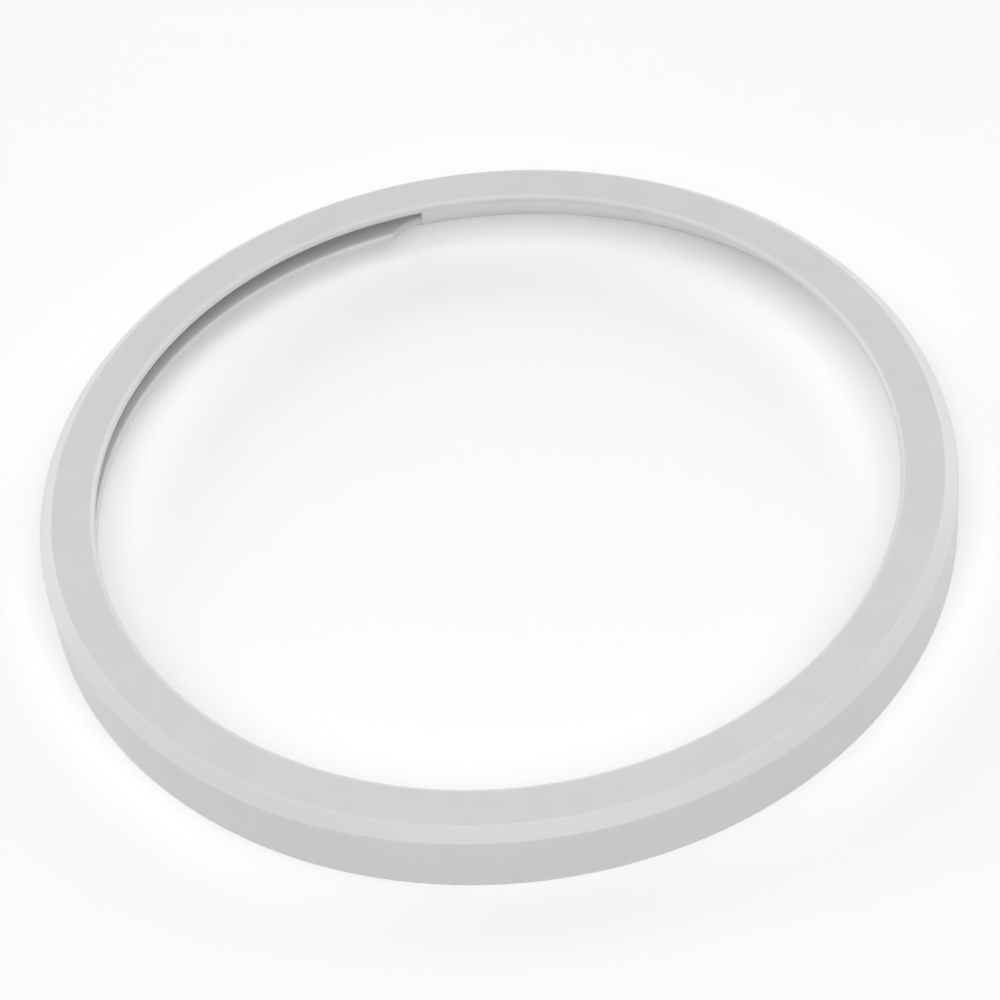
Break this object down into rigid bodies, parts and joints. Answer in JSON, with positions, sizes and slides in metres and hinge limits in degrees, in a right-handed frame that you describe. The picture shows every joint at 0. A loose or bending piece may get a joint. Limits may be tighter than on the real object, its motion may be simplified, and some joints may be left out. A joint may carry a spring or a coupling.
{
  "type": "pressure cooker sealing ring",
  "caption": "Silicone lid gasket: a ring with a flat top lip, a chamfered outer wall and a lower lip that stops short of a solid arc; pressure spreads the lips and seals the lid.",
  "frame": {"origin": "centre of the ring on the plane that its bottom edge rests on", "axes": "+Z along the ring's axis, towards the flat sealing face; +Y towards the middle of the arc that has no lower lip"},
  "size_m": [0.236, 0.236, 0.0188],
  "materials": {
    "silicone": "matte, slightly cloudy light grey silicone"
  },
  "bodies": {
    "root": {"sealing_ring": "silicone"}
  },
  "joints": []
}
